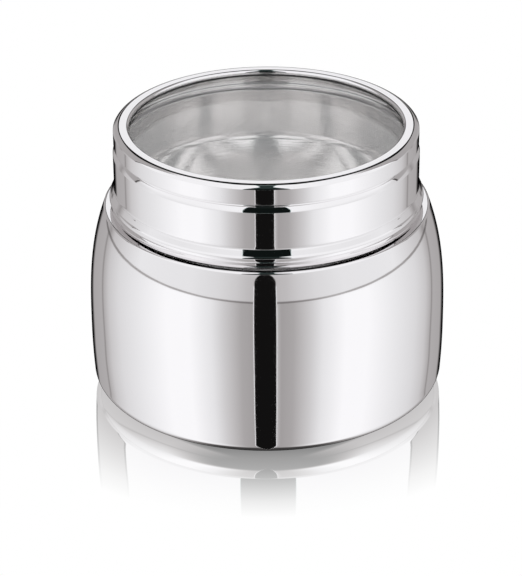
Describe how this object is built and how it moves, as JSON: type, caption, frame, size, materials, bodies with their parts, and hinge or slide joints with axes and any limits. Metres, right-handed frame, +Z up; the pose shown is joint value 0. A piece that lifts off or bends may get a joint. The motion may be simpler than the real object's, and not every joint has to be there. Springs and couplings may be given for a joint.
{
  "type": "lidded storage canister",
  "caption": "Round polished steel canister with a drawn-in belly and straight neck, closed by a press-on stepped lid with a see-through glass window.",
  "frame": {"origin": "centre of the foot, on the surface that the canister stands on", "axes": "+Z up along the turning axis, from the foot to the window; the object is round, so X and Y are any two level directions"},
  "size_m": [0.12, 0.12, 0.0945],
  "materials": {
    "steel_body": "mirror-polished stainless steel outside, spun satin inside",
    "steel_lid": "mirror-polished stainless steel",
    "clear_glass": "clear, polished",
    "soft_rubber": "matte black"
  },
  "bodies": {
    "canister": {"canister_body": "steel_body"},
    "lid": {"lid_ring": "steel_lid", "window_glass": "clear_glass", "window_gasket": "soft_rubber"}
  },
  "joints": [
    {"name": "lid_lift", "type": "slide", "parent": "canister", "child": "lid", "axis": [0, 0, 1], "range_m": [0, 0.07]}
  ]
}
